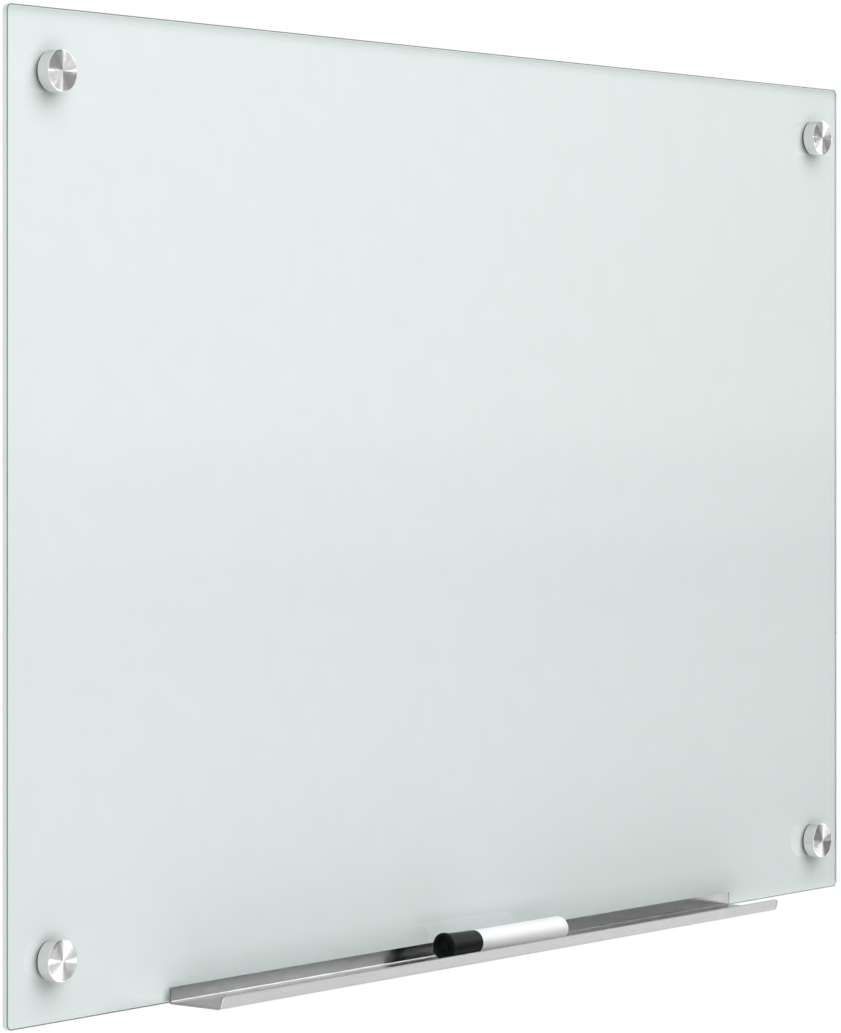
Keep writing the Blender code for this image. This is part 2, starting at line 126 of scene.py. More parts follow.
def tint(name, description, default):
    """A property that picks a colour."""
    return bpy.props.FloatVectorProperty(name=name, description=description, default=default, min=0, max=1,
                                         subtype="COLOR", size=3)


class BoardSizes(bpy.types.PropertyGroup):
    """Sizes of the fine detail."""

    glass_arris: metres("Glass arris", "Width of the ground edge of the pane", 0.0005, 0.0001, 0.001)
    cap_edge: metres("Cap edge", "Rounding of a standoff cap's front edge", 0.0006, 0.0001, 0.002)
    thread_pitch: metres("Stud pitch", "Rise of the stud's thread in one turn", 0.0015, 0.0005, 0.003)
    thread_depth: metres("Stud thread depth", "Height of the stud's thread", 0.0009, 0.0002, 0.0015)
    screw_pitch: metres("Screw pitch", "Rise of the wall screw's thread in one turn", 0.0018, 0.0008, 0.003)
    screw_thread: metres("Screw thread depth", "Height of the wall screw's thread", 0.0006, 0.0002, 0.001)
    sheet: metres("Tray sheet", "Thickness of the tray's sheet", 0.0012, 0.0008, 0.002)
    bend: metres("Tray bend", "Inner radius of the tray's two bends", 0.0008, 0.0004, 0.003)
    edge_break: metres("Tray edge", "Rounding of the sheet's cut edges", 0.00018, 0.00005, 0.0004)
    sides: bpy.props.IntProperty(
        name="Sides", description="Facets round a turned piece", default=128, min=24, max=256,
    )


class BoardColours(bpy.types.PropertyGroup):
    """Colours of the finishes."""

    paint: tint("Back paint", "Paint on the back of the pane", (0.765, 0.82, 0.812))
    glass: tint("Glass", "Tint of the pane", (0.985, 0.997, 0.993))
    ground: tint("Ground edge", "Tint of the pane's ground edge", (0.72, 0.80, 0.775))
    # The arris colour is near black: a painted shade that draws the dark line along the pane's edges.
    arris: tint("Arris", "The dull line along the pane's edges", (0.16, 0.20, 0.19))
    steel: tint("Steel", "Turned steel of the caps", (0.72, 0.72, 0.72))
    aluminium: tint("Aluminium", "Brushed aluminium of the tray", (0.42, 0.42, 0.424))
    zinc: tint("Zinc", "Plating of the studs", (0.58, 0.59, 0.60))
    passivated: tint("Passivated zinc", "Plating of the wall screws", (0.62, 0.55, 0.34))
    rubber: tint("Rubber", "Washers on both sides of the pane", (0.035, 0.038, 0.037))
    nylon: tint("Nylon", "Sleeves in the pane's holes", (0.80, 0.81, 0.78))
    foam: tint("Foam", "Tape behind the tray", (0.36, 0.37, 0.37))
    black: tint("Black plastic", "Marker cap", (0.012, 0.013, 0.014))
    white: tint("White plastic", "Marker barrel", (0.93, 0.935, 0.935))
    nose: tint("Grey plastic", "Marker nose", (0.04, 0.04, 0.042))
    felt: tint("Inked felt", "Marker nib", (0.008, 0.008, 0.009))
    fibre: tint("Inked fibre", "The rod that holds the marker's ink", (0.02, 0.02, 0.03))


# ---------------- nodes in few words


class Value:
    """A node's output on its way through a tree, which takes part in sums."""

    def __init__(self, tree, socket):
        self.tree = tree
        self.socket = socket

    def __add__(self, other):
        return maths("ADD", self, other)

    def __sub__(self, other):
        return maths("SUBTRACT", self, other)

    def __rsub__(self, other):
        return maths("SUBTRACT", other, self)

    def __mul__(self, other):
        return maths("MULTIPLY", self, other)

    def __truediv__(self, other):
        return maths("DIVIDE", self, other)


def add(tree, kind, inputs=None, **settings):
    """A node with its settings, and with a number or another node's output in each input."""
    node = tree.nodes.new(kind)
    for name, value in settings.items():
        setattr(node, name, value)
    for key, value in (inputs or {}).items():
        if isinstance(value, Value):
            tree.links.new(value.socket, node.inputs[key])
        else:
            node.inputs[key].default_value = value
    return node


def result(tree, kind, inputs=None, output=0, **settings):
    """One output of a new node."""
    return Value(tree, add(tree, kind, inputs, **settings).outputs[output])


def results(tree, kind, inputs=None, **settings):
    """All outputs of a new node, by name."""
    return {socket.name: Value(tree, socket) for socket in add(tree, kind, inputs, **settings).outputs}


def tree_of(values):
    """The tree that a row of values and plain numbers is in."""
    return next(value.tree for value in values if isinstance(value, Value))


def maths(operation, *values, clamp=False):
    """The result of one Math node."""
    return result(tree_of(values), "ShaderNodeMath", dict(enumerate(values)), operation=operation,
                  use_clamp=clamp)


def clamped(value, low, high):
    """A value kept between two others."""
    return maths("MAXIMUM", maths("MINIMUM", value, high), low)


def between(value, low, high, to_low=0.0, to_high=1.0):
    """A value moved from one range to another, and kept inside it."""
    return result(value.tree, "ShaderNodeMapRange", {"Value": value, "From Min": low, "From Max": high,
                                                     "To Min": to_low, "To Max": to_high})


def mix(factor, first, second):
    """The first value where the factor is 0, and the second where it is 1."""
    return result(factor.tree, "ShaderNodeMix", {"Factor": factor, 2: first, 3: second}, data_type="FLOAT")


def ramp(value, *stops):
    """A value read off straight lines between stops of place and level."""
    node = add(value.tree, "ShaderNodeValToRGB", {0: value})
    elements = node.color_ramp.elements
    for place, _ in stops[2:]:
        elements.new(place)
    for element, (place, level) in zip(elements, stops):
        element.position = place
        element.color = (level, level, level, 1.0)
    return Value(value.tree, node.outputs[0])


def vector(*values):
    """A vector of three values, or of two and 0."""
    return result(tree_of(values), "ShaderNodeCombineXYZ", dict(enumerate(values)))


def parts(value):
    """The three values in a vector."""
    return [*results(value.tree, "ShaderNodeSeparateXYZ", {0: value}).values()]


def noise(place, scale, detail, roughness=0.5):
    """The level of a cloudy noise."""
    return result(place.tree, "ShaderNodeTexNoise",
                  {"Vector": place, "Scale": scale, "Detail": detail, "Roughness": roughness})


COLOUR, VECTOR, FLOAT, INTEGER = "NodeSocketColor", "NodeSocketVector", "NodeSocketFloat", "NodeSocketInt"
GEOMETRY, MATERIAL = "NodeSocketGeometry", "NodeSocketMaterial"
FORMS = {float: FLOAT, int: INTEGER, tuple: COLOUR}
GREY = (0.5, 0.5, 0.5, 1.0)
SURFACE = {"Colour": COLOUR, "Roughness": FLOAT, "Height": FLOAT}
MESH = {"Mesh": GEOMETRY}


def group_tree(name, inputs, outputs):
    """An empty node group, and what it is given, by name. Each socket comes with its default, or else
    with its form."""
    tree = bpy.data.node_groups.new(name, "GeometryNodeTree" if outputs is MESH else "ShaderNodeTree")
    for direction, sockets in (("INPUT", inputs), ("OUTPUT", outputs)):
        for socket, default in sockets.items():
            form = FORMS.get(type(default), default)
            made = tree.interface.new_socket(name=socket, in_out=direction, socket_type=form)
            if form != default:
                made.default_value = default
    return tree, results(tree, "NodeGroupInput")


def grouped(tree, group, **inputs):
    """What a group puts out, with its inputs set by name."""
    kind = "ShaderNodeGroup" if tree.type == "SHADER" else "GeometryNodeGroup"
    return results(tree, kind, inputs, node_tree=group)


# ---------------- shader groups

NOISE_LOW, NOISE_HIGH = 0.3, 0.7


def uneven(given, cloud, rough_low, rough_high):
    """The colour and roughness of a group, made uneven by a cloud of noise."""
    shade = between(cloud, NOISE_LOW, NOISE_HIGH, 1.0 - given["Unevenness"], given["Unevenness"] + 1.0)
    colour = result(cloud.tree, "ShaderNodeVectorMath", {0: given["Colour"], "Scale": shade},
                    operation="SCALE")
    rough = given["Roughness"] * between(cloud, NOISE_LOW, NOISE_HIGH, rough_low, rough_high)
    return {"Colour": colour, "Roughness": rough}


def brushed_grain():
    """Fine parallel scratches: long in the vector's X, and one spacing apart in its Y."""
    tree, given = group_tree("Brushed grain", {
        "Vector": VECTOR, "Colour": GREY, "Roughness": 0.3, "Spacing": 0.0003, "Length": 0.03,
        "Unevenness": 0.1}, SURFACE)
    x, y, z = parts(given["Vector"])
    along, across, deep = x / given["Length"], y / given["Spacing"], z / given["Length"]
    fine = noise(vector(along, across, deep), 1.0, 3.0, 0.6)
    wide = noise(vector(along, across * 0.11, deep), 1.0, 1.0)
    add(tree, "NodeGroupOutput", {**uneven(given, fine * 0.6 + wide * 0.4, 1.25, 0.8), "Height": fine})
    return tree


def turning_marks(grain):
    """The brushed grain of a piece turned on its axis, laid round it from its own map, whose first
    axis is the share of a turn and whose second is the length along the outline."""
    tree, given = group_tree("Turning marks", {
        "Map": VECTOR, "Colour": GREY, "Roughness": 0.3, "Spacing": 0.0002, "Unevenness": 0.1}, SURFACE)
    share, reach, _ = parts(given["Map"])
    angle = share * FULL_TURN
    laid = vector(maths("COSINE", angle), reach, maths("SINE", angle))
    kept = {name: given[name] for name in ("Colour", "Roughness", "Spacing", "Unevenness")}
    lines = grouped(tree, grain, Vector=laid, Length=0.9, **kept)
    add(tree, "NodeGroupOutput", lines)
    return tree


def moulded_skin():
    """The faint orange peel and uneven gloss of a moulded or coated surface."""
    tree, given = group_tree("Moulded skin", {
        "Colour": GREY, "Roughness": 0.4, "Grain": 0.0006, "Unevenness": 0.05}, SURFACE)
    place = result(tree, "ShaderNodeTexCoord", output="Object")
    scale = maths("DIVIDE", 1.0, given["Grain"])
    fine = noise(place, scale, 2.0)
    cloud = noise(place, scale * 0.04, 2.0)
    add(tree, "NodeGroupOutput", {**uneven(given, cloud, 0.9, 1.15), "Height": fine})
    return tree


def settled_dust():
    """A thin veil of dust on what faces up, in faint patches."""
    tree, given = group_tree("Settled dust", {
        "Colour": GREY, "Roughness": 0.4, "Dust": (0.6, 0.6, 0.58, 1.0), "Amount": 0.1},
        {"Colour": COLOUR, "Roughness": FLOAT})
    _, _, up = parts(result(tree, "ShaderNodeNewGeometry", output="Normal"))
    patches = noise(result(tree, "ShaderNodeTexCoord", output="Object"), 160.0, 4.0)
    veil = between(up, 0.2, 1.0) * between(patches, 0.42, 0.75) * given["Amount"]
    mixed = result(tree, "ShaderNodeMix", {"Factor": veil, 6: given["Colour"], 7: given["Dust"]}, 2,
                   data_type="RGBA")
    add(tree, "NodeGroupOutput", {"Colour": mixed, "Roughness": given["Roughness"] + veil})
    return tree


# ---------------- materials


def blank_material(name, **plain):
    """A material with one Principled shader, whose uniform values are set on its own sockets."""
    made = bpy.data.materials.new(name)
    made.use_nodes = True
    shader = made.node_tree.nodes["Principled BSDF"]
    for key, value in plain.items():
        socket = shader.inputs[key.replace("_", " ")]
        socket.default_value = (*value, 1.0) if socket.type == "RGBA" else value
    return made, made.node_tree, shader


def wire(tree, shader, looks, height, bump, reach):
    """Feed a shader's colour and roughness from a group, and its normal from a height."""
    raised = result(tree, "ShaderNodeBump", {"Strength": bump, "Distance": reach, "Height": height})
    sources = {"Base Color": looks["Colour"], "Roughness": looks["Roughness"], "Normal": raised}
    for name, value in sources.items():
        tree.links.new(value.socket, shader.inputs[name])


def surface(tree, value):
    """Make a shader the surface of its material."""
    tree.links.new(value.socket, tree.nodes["Material Output"].inputs["Surface"])


def brushed_metal(name, anisotropy):
    """A metal whose gloss follows its own map, and that map."""
    made, tree, shader = blank_material(name, Metallic=1.0, Anisotropic=anisotropy, Anisotropic_Rotation=0.25)
    lengthwise = result(tree, "ShaderNodeTangent", direction_type="UV_MAP", uv_map="UVMap")
    tree.links.new(lengthwise.socket, shader.inputs["Tangent"])
    return made, tree, shader, result(tree, "ShaderNodeUVMap", uv_map="UVMap")


def turned_metal(name, marks, colour, roughness, spacing, unevenness, anisotropy):
    """Bare metal, turned or brushed round its axis."""
    made, tree, shader, own_map = brushed_metal(name, anisotropy)
    lines = grouped(tree, marks, Map=own_map, Colour=(*colour, 1.0), Roughness=roughness, Spacing=spacing,
                    Unevenness=unevenness)
    wire(tree, shader, lines, lines["Height"], 0.12, 0.00001)
    return made


def brushed_sheet(name, grain, dust, colour):
    """Aluminium sheet, brushed along its length."""
    made, tree, shader, own_map = brushed_metal(name, 0.85)
    lines = grouped(tree, grain, Vector=own_map, Colour=(*colour, 1.0), Roughness=0.19, Spacing=0.00022,
                    Length=0.02, Unevenness=0.05)
    veil = grouped(tree, dust, Colour=lines["Colour"], Roughness=lines["Roughness"], Amount=0.05)
    wire(tree, shader, veil, lines["Height"], 0.1, 0.00001)
    return made


def moulded(name, skin, colour, roughness, grain, unevenness, bump, **plain):
    """Plastic, rubber, felt, foam, paint or plating, by the grain of its skin."""
    made, tree, shader = blank_material(name, **plain)
    looks = grouped(tree, skin, Colour=(*colour, 1.0), Roughness=roughness, Grain=grain,
                    Unevenness=unevenness)
    wire(tree, shader, looks, looks["Height"], bump, grain / 6)
    return made


def clear_glass(name, colour, roughness):
    """Glass that bends what is seen through it and lets the lamps through to what it covers."""
    made, tree, shader = blank_material(name, Base_Color=colour, Roughness=roughness, IOR=1.52,
                                        Transmission_Weight=1.0)
    rays = results(tree, "ShaderNodeLightPath")
    passing = maths("MAXIMUM", rays["Is Shadow Ray"], rays["Is Diffuse Ray"])
    through = result(tree, "ShaderNodeBsdfTransparent", {"Color": (*colour, 1.0)})
    glass = Value(tree, shader.outputs[0])
    surface(tree, result(tree, "ShaderNodeMixShader", {0: passing, 1: glass, 2: through}))
    return made


FINISHES = {}


def make_finishes(colours):
    """Every finish of the object, by the record's slot or by what it is on."""
    grain = brushed_grain()
    marks = turning_marks(grain)
    skin = moulded_skin()
    # The tray's top cut edges get the aluminium lightened, a painted highlight, and its end faces get it
    # darkened, a painted shade.
    cut_top_painted_highlight = [min(1, share * 1.3) for share in colours.aluminium]
    cut_end_painted_shade = [share * 0.85 for share in colours.aluminium]
    FINISHES["turned_steel"] = turned_metal(
        "turned_steel_cap", marks, colours.steel, 0.21, 0.00016, 0.03, 1.0)
    FINISHES["satin_aluminium"] = turned_metal(
        "satin_barrel", marks, colours.aluminium, 0.32, 0.00025, 0.06, 0.6)
    FINISHES["brushed_aluminium"] = brushed_sheet("brushed_tray", grain, settled_dust(), colours.aluminium)
    FINISHES["glass"] = clear_glass("pane_glass", colours.glass, 0.03)
    FINISHES["ground_glass"] = clear_glass("pane_ground_edge", colours.ground, 0.12)
    metal = {"Metallic": 1.0}
    # Slot or place, material, colour, roughness, grain, unevenness, bump, and what is uniform
    for slot, name, *looks, plain in (
        ("zinc_plated_steel", "zinc_plated_stud", colours.zinc, 0.32, 0.0004, 0.10, 0.15, metal),
        ("plated_screw", "passivated_screw", colours.passivated, 0.34, 0.0005, 0.16, 0.15, metal),
        # The next two are the tray's top cut edges in lightened aluminium (painted highlight) and its ends in
        # darkened aluminium (painted shade).
        ("sheared_edge", "tray_top_edge_painted_highlight", cut_top_painted_highlight, 0.5, 0.0003, 0.08, 0.2, metal),
        ("sheared_end", "tray_end_painted_shade", cut_end_painted_shade, 0.55, 0.0003, 0.08, 0.2, metal),
        # The arris is coloured near black: a painted shade that draws a dark line along the pane's edges.
        ("ground_arris", "pane_arris_painted_dark_line", colours.arris, 0.5, 0.0003, 0.06, 0.1, {}),
        ("back_paint", "back_paint", colours.paint, 0.65, 0.0009, 0.008, 0.1, {"Specular_IOR_Level": 0.0}),
        ("black_rubber", "washer_rubber", colours.rubber, 0.62, 0.0003, 0.12, 0.35, {}),
        ("clear_nylon", "sleeve_nylon", colours.nylon, 0.38, 0.0005, 0.04, 0.15, {}),
        ("grey_foam_tape", "foam_tape", colours.foam, 0.92, 0.0002, 0.18, 0.8, {}),
        ("black_plastic", "marker_cap_plastic", colours.black, 0.34, 0.0005, 0.10, 0.12,
         {"Specular_IOR_Level": 0.08}),
        ("dark_plastic", "marker_nose_plastic", colours.nose, 0.4, 0.0005, 0.08, 0.12, {}),
        ("inked_felt", "marker_nib_felt", colours.felt, 0.9, 0.00012, 0.3, 0.9, {}),
        ("white_plastic", "marker_barrel_plastic", colours.white, 0.3, 0.0006, 0.015, 0.08, {}),
        ("ink_fibre", "marker_ink_fibre", colours.fibre, 0.95, 0.00015, 0.3, 0.9, {}),
    ):
        FINISHES[slot] = moulded(name, skin, *looks, **plain)


# ---------------- geometry trees


def grid_places(tree, rows, sides):
    """A grid of points, with each point's row, and its column as a share of a turn."""
    grid = result(tree, "GeometryNodeMeshGrid", {"Vertices X": sides + 1, "Vertices Y": rows})
    index = result(tree, "GeometryNodeInputIndex")
    column = maths("FLOOR", (index + 0.5) / rows)
    return grid, index - column * rows, column / sides


def wrapped(tree, grid, share, radius, height, reach):
    """The grid's points laid round +Z, with the map that the finishes follow, and welded shut."""
    angle = share * FULL_TURN
    place = vector(radius * maths("COSINE", angle), radius * maths("SINE", angle), height)
    on_points = [result(tree, "GeometryNodeFieldOnDomain", {"Value": value}, domain="POINT",
                        data_type="FLOAT") for value in (share, reach)]
    mapped = result(tree, "GeometryNodeStoreNamedAttribute",
                    {"Geometry": grid, "Name": "UVMap", "Value": vector(*on_points)},
                    domain="CORNER", data_type="FLOAT2")
    laid = result(tree, "GeometryNodeSetPosition", {"Geometry": mapped, "Position": place})
    return result(tree, "GeometryNodeMergeByDistance", {"Geometry": laid, "Distance": WELD})


def turned_shape():
    """An outline of points (radius, 0, height), turned round +Z."""
    tree, given = group_tree("Turned shape", {"Outline": GEOMETRY, "Sides": 96}, MESH)
    rows = result(tree, "GeometryNodeAttributeDomainSize", {"Geometry": given["Outline"]}, "Point Count")
    grid, row, share = grid_places(tree, rows, given["Sides"])

    def sampled(value, form):
        return result(tree, "GeometryNodeSampleIndex", {"Geometry": given["Outline"], "Value": value,
                                                        "Index": row}, data_type=form, domain="POINT")

    radius, _, height = parts(sampled(result(tree, "GeometryNodeInputPosition"), "FLOAT_VECTOR"))
    named = result(tree, "GeometryNodeInputNamedAttribute", {"Name": "reach"}, data_type="FLOAT")
    shape = wrapped(tree, grid, share, radius, height, sampled(named, "FLOAT"))
    add(tree, "NodeGroupOutput", {"Mesh": shape})
    return tree


THREAD_INPUTS = {"Steps": 10, "Radius": 0.005, "Depth": 0.0009, "Pitch": 0.0015, "From": 0.0, "To": 0.02,
                 "Taper": 0.001, "Tip": 0.85, "Lead": 0.001}


def threaded_shape():
    """A rod round +Z whose thread is a ridge on a helix, with tapered ends."""
    tree, given = group_tree("Threaded shape", {"Sides": 48, **THREAD_INPUTS}, MESH)
    start, end, pitch, depth, tip = (given[name] for name in ("From", "To", "Pitch", "Depth", "Tip"))
    run = end - start
    rows = (maths("CEIL", run / pitch) + 2) * given["Steps"] + 3
    grid, row, share = grid_places(tree, rows, given["Sides"])
    step = (row - 1) / given["Steps"]
    height = clamped(start + (step - 1 + share) * pitch, start, end)
    from_tip = height - start
    flank = maths("ABSOLUTE", maths("FRACT", step) - 0.5)
    crest = between(flank, 0.08, 0.42, 1.0, 0.0)
    fade = maths("DIVIDE", from_tip, given["Lead"], clamp=True) * maths(
        "DIVIDE", end - height, given["Lead"], clamp=True)
    body = given["Radius"] - depth + crest * depth * fade
    narrowing = tip + maths("DIVIDE", from_tip, given["Taper"], clamp=True) * (1.0 - tip)
    at_top = maths("COMPARE", row, rows - 1, 0.1)
    at_an_end = maths("COMPARE", row, 0, 0.1) + at_top
    radius = body * narrowing * (1.0 - at_an_end)
    settled = result(tree, "GeometryNodeSwitch", {"Switch": at_an_end, "False": height,
                                                  "True": start + run * at_top}, input_type="FLOAT")
    add(tree, "NodeGroupOutput", {"Mesh": wrapped(tree, grid, share, radius, settled, settled)})
    return tree


def finish_tree(tree, given, shape):
    """End a tree with a plain mesh in its finish."""
    real = result(tree, "GeometryNodeRealizeInstances", {"Geometry": shape})
    done = result(tree, "GeometryNodeSetMaterial", {"Geometry": real, "Material": given["Finish"]})
    add(tree, "NodeGroupOutput", {"Mesh": done})
    return tree


def placed_at_fixings(name, shape_of, extra):
    """A tree that makes a shape, sets it on the fixing points and faces it to the room. Corner says
    on which of the four, and -1 means on all."""
    inputs = {"Outline": GEOMETRY, "Sides": 96, "Across": 0.4, "Up": 0.25, "Corner": -1, "Finish": MATERIAL}
    tree, given = group_tree(name, {**inputs, **extra}, MESH)
    quarter = (math.pi / 2, 0, 0)
    spots = result(tree, "GeometryNodeMeshGrid", {"Size X": given["Across"] * 2, "Size Y": given["Up"] * 2,
                                                  "Vertices X": 2, "Vertices Y": 2})
    upright = result(tree, "GeometryNodeTransform", {"Geometry": spots, "Rotation": quarter})
    index = result(tree, "GeometryNodeInputIndex")
    wanted = maths("LESS_THAN", given["Corner"], 0) + maths("COMPARE", given["Corner"], index, 0.1)
    copies = result(tree, "GeometryNodeInstanceOnPoints", {
        "Points": upright, "Selection": wanted, "Instance": shape_of(tree, given), "Rotation": quarter})
    return finish_tree(tree, given, copies)


def placed_along_marker(shape_of):
    """A tree that makes a shape and lays it down along the marker."""
    tree, given = group_tree("Turned along the marker", {
        "Outline": GEOMETRY, "Sides": 96, "Start": VECTOR, "Dip": 0.0, "Finish": MATERIAL}, MESH)
    lie = vector(0.0, given["Dip"] + math.pi / 2, 0.0)
    laid = result(tree, "GeometryNodeTransform", {
        "Geometry": shape_of(tree, given), "Translation": given["Start"], "Rotation": lie})
    return finish_tree(tree, given, laid)


TREES = {}


def make_trees():
    """Every geometry tree, by what it makes."""
    turned = turned_shape()
    threaded = threaded_shape()

    def plain(tree, given):
        return grouped(tree, turned, Outline=given["Outline"], Sides=given["Sides"])["Mesh"]

    def with_thread(tree, given):
        rod = grouped(tree, threaded, Sides=given["Sides"], **{name: given[name] for name in THREAD_INPUTS})
        joined = add(tree, "GeometryNodeJoinGeometry")
        for part in (plain(tree, given), rod["Mesh"]):
            tree.links.new(part.socket, joined.inputs[0])
        return Value(tree, joined.outputs[0])

    TREES["turned"] = placed_at_fixings("Turned at the fixings", plain, {})
    TREES["threaded"] = placed_at_fixings("Threaded at the fixings", with_thread, THREAD_INPUTS)
    TREES["marker"] = placed_along_marker(plain)


# ---------------- outlines and meshes


def filleted(corners, closed=False, steps=5):
    """An outline whose corners (radius, height, rounding) are rounded, with its first point
    repeated at the end where it is closed."""
    path = []
    for here, (radius, height, rounding) in enumerate(corners):
        point = Vector((radius, height))
        if not rounding:
            path.append(point)
            continue
        before = (Vector(corners[here - 1][:2]) - point).normalized()
        after = (Vector(corners[(here + 1) % len(corners)][:2]) - point).normalized()
        half = before.angle(after) / 2
        centre = point + (before + after).normalized() * rounding / math.sin(half)
        start = point + before * rounding / math.tan(half) - centre
        end = point + after * rounding / math.tan(half) - centre
        swing = math.atan2(start.cross(end), start.dot(end))
        path += [centre + Matrix.Rotation(swing * step / steps, 2) @ start for step in range(steps + 1)]
    if closed:
        path.append(path[0].copy())
    return held(path)


def held(path):
    """An outline with a point just inside both ends of each long run, which keeps its shading flat."""
    points = [path[0]]
    for before, after in zip(path, path[1:]):
        run = after - before
        if run.length > 4 * HOLD:
            points += [before + run.normalized() * HOLD, after - run.normalized() * HOLD]
        points.append(after)
    return points


def tube(inner, outer, back, front):
    """The outline of a soft ring or tube."""
    return filleted([(inner, back, SOFT_EDGE), (outer, back, SOFT_EDGE), (outer, front, SOFT_EDGE),
                     (inner, front, SOFT_EDGE)], closed=True, steps=3)


def in_scene(name, data):
    """A new object in the scene."""
    thing = bpy.data.objects.new(name, data)
    bpy.context.scene.collection.objects.link(thing)
    return thing


def built(name, shape, materials):
    """A new object from a bmesh, which is freed."""
    mesh = bpy.data.meshes.new(name)
    shape.to_mesh(mesh)
    shape.free()
    for material in materials:
        mesh.materials.append(material)
    return in_scene(name, mesh)


def made_plain(piece, modifier):
    """Put what a piece's modifier makes in place of its mesh."""
    depsgraph = bpy.context.evaluated_depsgraph_get()
    made = bpy.data.meshes.new_from_object(piece.evaluated_get(depsgraph), depsgraph=depsgraph)
    if not made.polygons:
        raise RuntimeError(f"nothing was made for {piece.name}")
    piece.modifiers.remove(modifier)
    piece.data = made
    made.name = piece.name


def settle(piece, body, nodes):
    """Smooth a piece, and tell the frame what it rides on and what it stands for."""
    shape = bmesh.new()
    shape.from_mesh(piece.data)
    bmesh.ops.recalc_face_normals(shape, faces=shape.faces)
    shape.to_mesh(piece.data)
    shape.free()
    piece.data.shade_smooth()
    piece.data.set_sharp_from_angle(angle=SHARP_EDGE)
    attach(piece, body)
    if nodes:
        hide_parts(*nodes)


def grown(name, tree, outline, body, slot, nodes, values):
    """A piece that a geometry tree makes from an outline, kept as a plain mesh."""
    mesh = bpy.data.meshes.new(name)
    mesh.from_pydata([(point.x, 0, point.y) for point in outline],
                     [(here, here + 1) for here in range(len(outline) - 1)], [])
    reaches = [0.0]
    for before, after in zip(outline, outline[1:]):
        reaches.append(reaches[-1] + (after - before).length)
    mesh.attributes.new("reach", "FLOAT", "POINT").data.foreach_set("value", reaches)
    piece = in_scene(name, mesh)
    modifier = piece.modifiers.new("Shape", "NODES")
    modifier.node_group = TREES[tree]
    values = {"Sides": bpy.context.scene.board_sizes.sides, "Finish": FINISHES[slot], **values}
    for socket in TREES[tree].interface.items_tree:
        if socket.name in values:
            modifier[socket.identifier] = values[socket.name]
    made_plain(piece, modifier)
    settle(piece, body, nodes)


def at_fixings(name, outline, body, slot, kind, corner=-1, tree="turned", **values):
    """A piece at one fixing point, or at all four."""
    nodes = [f"{kind}_{where}" for where in (CORNERS if corner < 0 else (CORNERS[corner],))]
    values.update(Across=FIXING_ACROSS, Up=FIXING_UP, Corner=corner)
    grown(name, tree, outline, body, slot, nodes, values)


def at_each_fixing(name, outline, body, slot, kind, **values):
    """The same piece at each of the four fixing points, on a body of its own."""
    for corner, where in enumerate(CORNERS):
        at_fixings(f"{name}_{where}", outline, f"{body}_{where}", slot, kind, corner, **values)


def along_marker(name, outline, body, slot, node):
    """A piece turned about the marker's axis."""
    grown(name, "marker", outline, body, slot, [node], {"Start": MARKER_LEFT, "Dip": MARKER_DIP})


def better_finish(node, slot):
    """Give a node that keeps its own shape its finish."""
    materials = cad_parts[node].data.materials
    materials.clear()
    materials.append(FINISHES[slot])


def rounded_rectangle(width, height, radius, steps=12):
    """Points of a closed rectangle with round corners."""
    points = []
    for quarter, centre in enumerate(((1, 1), (-1, 1), (-1, -1), (1, -1))):
        across, up = centre[0] * (width / 2 - radius), centre[1] * (height / 2 - radius)
        angles = [math.pi / 2 * (quarter + step / steps) for step in range(steps + 1)]
        points += [(across + radius * math.cos(angle), up + radius * math.sin(angle)) for angle in angles]
    return points


def round_hole(radius, centre, sides=64):
    """Points of a circle."""
    angles = [FULL_TURN * side / sides for side in range(sides)]
    return [(centre[0] + radius * math.cos(angle), centre[1] + radius * math.sin(angle)) for angle in angles]


def slab(name, outlines, back, front, arris, finishes):
    """A flat sheet across the board, between two distances from the wall. Each outline is a function
    of its setback. The first finish is on the faces, the next on the edges, the last on the arrises."""
    shape = bmesh.new()
    rims = {back: [], front: []}
    for outline in outlines:
        loops = []
        for level, setback in ((back, arris), (back + arris, 0), (front - arris, 0), (front, arris)):
            loops.append([shape.verts.new((x, -level, z)) for x, z in outline(setback)])
        for finish, lower, upper in zip((2, 1, 2), loops, loops[1:]):
            for here, start in enumerate(lower):
                after = (here + 1) % len(lower)
                face = shape.faces.new((start, lower[after], upper[after], upper[here]))
                face.material_index = min(finish, len(finishes) - 1)
        for level, loop in ((back, loops[0]), (front, loops[-1])):
            rims[level] += [shape.edges.get(ends) for ends in zip(loop, loop[1:] + loop[:1])]
    for edges in rims.values():
        bmesh.ops.triangle_fill(shape, use_beauty=True, edges=edges, normal=(0, 1, 0))
    return built(name, shape, [FINISHES[finish] for finish in finishes])


# ---------------- operators, one for each group


class MakePane(bpy.types.Operator):
    """Make the clear pane with its ground edges, and the paint on its back"""

    bl_idname = "whiteboard.pane"
    bl_label = "Pane and back paint"

    def execute(self, context):
        arris = context.scene.board_sizes.glass_arris
        self.sheet("pane_clear", 0, GLASS_BACK, GLASS_FRONT, arris, ["glass", "ground_glass", "ground_arris"],
                   ["glass_panel"])
        self.sheet("pane_back_paint", arris * 1.6, GLASS_BACK - PAINT_DEPTH, GLASS_BACK + PAINT_BITE,
                   PAINT_BITE / 4, ["back_paint"], [])
        return {"FINISHED"}

    @staticmethod
    def sheet(name, margin, back, front, arris, finishes, nodes):
        """A sheet as large as the pane, apart from a margin round it and its holes."""
        width = GLASS_HIGH.x - GLASS_LOW.x
        height = GLASS_HIGH.z - GLASS_LOW.z

        def rim(setback):
            inset = setback + margin
            return rounded_rectangle(width - 2 * inset, height - 2 * inset, GLASS_CORNER_RADIUS - inset)

        def hole(centre):
            return lambda setback: round_hole(GLASS_HOLE_RADIUS + margin + setback, centre)

        holes = [hole((side * FIXING_ACROSS, rise * FIXING_UP)) for side in (-1, 1) for rise in (-1, 1)]
        settle(slab(name, [rim, *holes], back, front, arris, finishes), "root", nodes)


